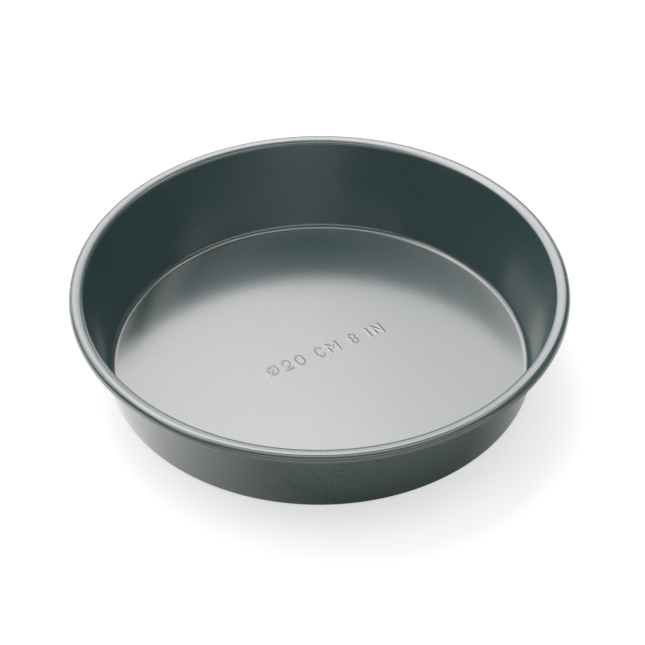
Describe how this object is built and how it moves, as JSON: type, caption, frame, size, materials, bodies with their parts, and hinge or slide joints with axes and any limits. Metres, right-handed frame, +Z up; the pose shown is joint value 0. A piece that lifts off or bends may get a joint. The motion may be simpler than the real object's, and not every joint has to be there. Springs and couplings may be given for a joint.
{
  "type": "baking pan",
  "caption": "Round deep baking tin with flared sides, a flat floor and a rolled, wired rim, with a dark metallic non-stick coat.",
  "frame": {"origin": "centre of the flat underside, on the surface that the tin stands on", "axes": "+Z up out of the tin, +X to the right and +Y away from the viewer of the picture"},
  "size_m": [0.214, 0.214, 0.0425],
  "materials": {
    "nonstick_steel": "metallic non-stick coat on carbon steel, dark grey with a green cast, satin with fine metal flake",
    "steel_wire": "bright drawn steel wire"
  },
  "bodies": {
    "root": {"tin_shell": "nonstick_steel", "rim_wire": "steel_wire"}
  },
  "joints": []
}
